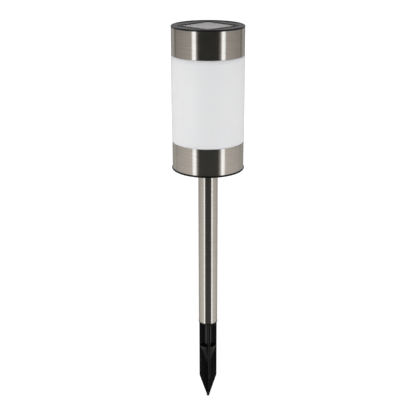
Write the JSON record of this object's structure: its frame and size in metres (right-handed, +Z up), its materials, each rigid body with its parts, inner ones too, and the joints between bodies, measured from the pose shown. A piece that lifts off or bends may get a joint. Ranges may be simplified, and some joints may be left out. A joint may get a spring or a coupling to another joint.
{
  "type": "solar garden light",
  "caption": "Solar garden light on a round steel pole with a ground spike, a frosted cylindrical shade between steel bands and a bayonet cap holding the solar cell.",
  "frame": {"origin": "on the light's axis at the soil line, the underside of the spike's flange that the pole stands on", "axes": "+Z up along the pole towards the cap, -Y towards the front, +X to the right seen from the front; the square cell stands corner to the front"},
  "size_m": [0.0764, 0.0764, 0.4277],
  "materials": {
    "spike_plastic": "moulded ABS, fine satin",
    "base_plastic": "moulded ABS, satin",
    "lid_plastic": "moulded ABS, semi-gloss with a fine texture on the deck",
    "housing_plastic": "moulded ABS, satin",
    "band_steel": "stainless sheet, brushed round the axis",
    "pole_steel": "welded stainless tube, brushed round the axis",
    "shade_acrylic": "opal acrylic, frosted",
    "seal_rubber": "soft silicone rubber",
    "reflector_plating": "vacuum plated plastic",
    "window_clear": "clear acrylic with a fine texture",
    "tape_black": "black foam tape",
    "cell_silicon": "coated silicon with printed grid lines",
    "board_laminate": "glass fibre laminate with solder mask",
    "screw_steel": "zinc plated steel",
    "pin_steel": "ground steel wire",
    "cell_can": "nickel plated steel",
    "sleeve_film": "heat shrunk film",
    "contact_nickel": "nickel plated spring steel",
    "led_epoxy": "clear epoxy with yellow phosphor",
    "tinned_wire": "tinned steel",
    "chip_epoxy": "moulded epoxy, matt",
    "choke_lacquer": "lacquered ferrite",
    "capacitor_film": "heat shrunk film",
    "switch_metal": "nickel plated sheet",
    "knob_plastic": "moulded acetal",
    "lead_red": "PVC insulation",
    "lead_black": "PVC insulation",
    "lead_white": "PVC insulation"
  },
  "bodies": {
    "ground_spike": {"ground_spike": "spike_plastic"},
    "pole": {"pole_tube": "pole_steel"},
    "lamp_head": {"base_cap": "base_plastic", "base_gasket": "seal_rubber", "reflector_cone": "reflector_plating", "shade": "shade_acrylic", "lower_band": "band_steel", "upper_band": "band_steel"},
    "cap_seal": {"cap_seal_ring": "seal_rubber"},
    "solar_cap": {"cap_lid": "lid_plastic", "solar_window": "window_clear", "window_tape": "tape_black", "solar_cell": "cell_silicon", "cell_board": "board_laminate", "electronics_housing": "housing_plastic", "housing_screws": "screw_steel", "door_hinge_pin": "pin_steel", "battery_can": "cell_can", "battery_sleeve": "sleeve_film", "negative_plate": "contact_nickel", "positive_plate": "contact_nickel", "battery_spring": "contact_nickel", "main_board": "board_laminate", "board_screws": "screw_steel", "led_lens": "led_epoxy", "led_legs": "tinned_wire", "driver_chip": "chip_epoxy", "choke_coil": "choke_lacquer", "capacitor": "capacitor_film", "switch_body": "switch_metal", "switch_screws": "screw_steel", "cell_lead_red": "lead_red", "cell_lead_black": "lead_black", "battery_lead_red": "lead_red", "battery_lead_black": "lead_black", "switch_lead_red": "lead_red", "switch_lead_white": "lead_white"},
    "switch_knob": {"switch_knob": "knob_plastic"},
    "battery_door": {"battery_door": "housing_plastic"}
  },
  "joints": [
    {"name": "pole_pull", "type": "slide", "parent": "ground_spike", "child": "pole", "axis": [0, 0, 1], "range_m": [0, 0.035]},
    {"name": "head_pull", "type": "slide", "parent": "pole", "child": "lamp_head", "axis": [0, 0, 1], "range_m": [0, 0.035]},
    {"name": "cap_lift", "type": "slide", "parent": "lamp_head", "child": "cap_seal", "axis": [0, 0, 1], "range_m": [0, 0.045]},
    {"name": "cap_turn", "type": "hinge", "parent": "cap_seal", "child": "solar_cap", "pos_m": [0, 0, 0.3292], "axis": [0, 0, 1], "range_deg": [-18, 0]},
    {"name": "switch_slide", "type": "slide", "parent": "solar_cap", "child": "switch_knob", "axis": [1, 0, 0], "range_m": [0, 0.003]},
    {"name": "door_hinge", "type": "hinge", "parent": "solar_cap", "child": "battery_door", "pos_m": [0, 0.0189, 0.3036], "axis": [1, 0, 0], "range_deg": [0, 100]}
  ]
}
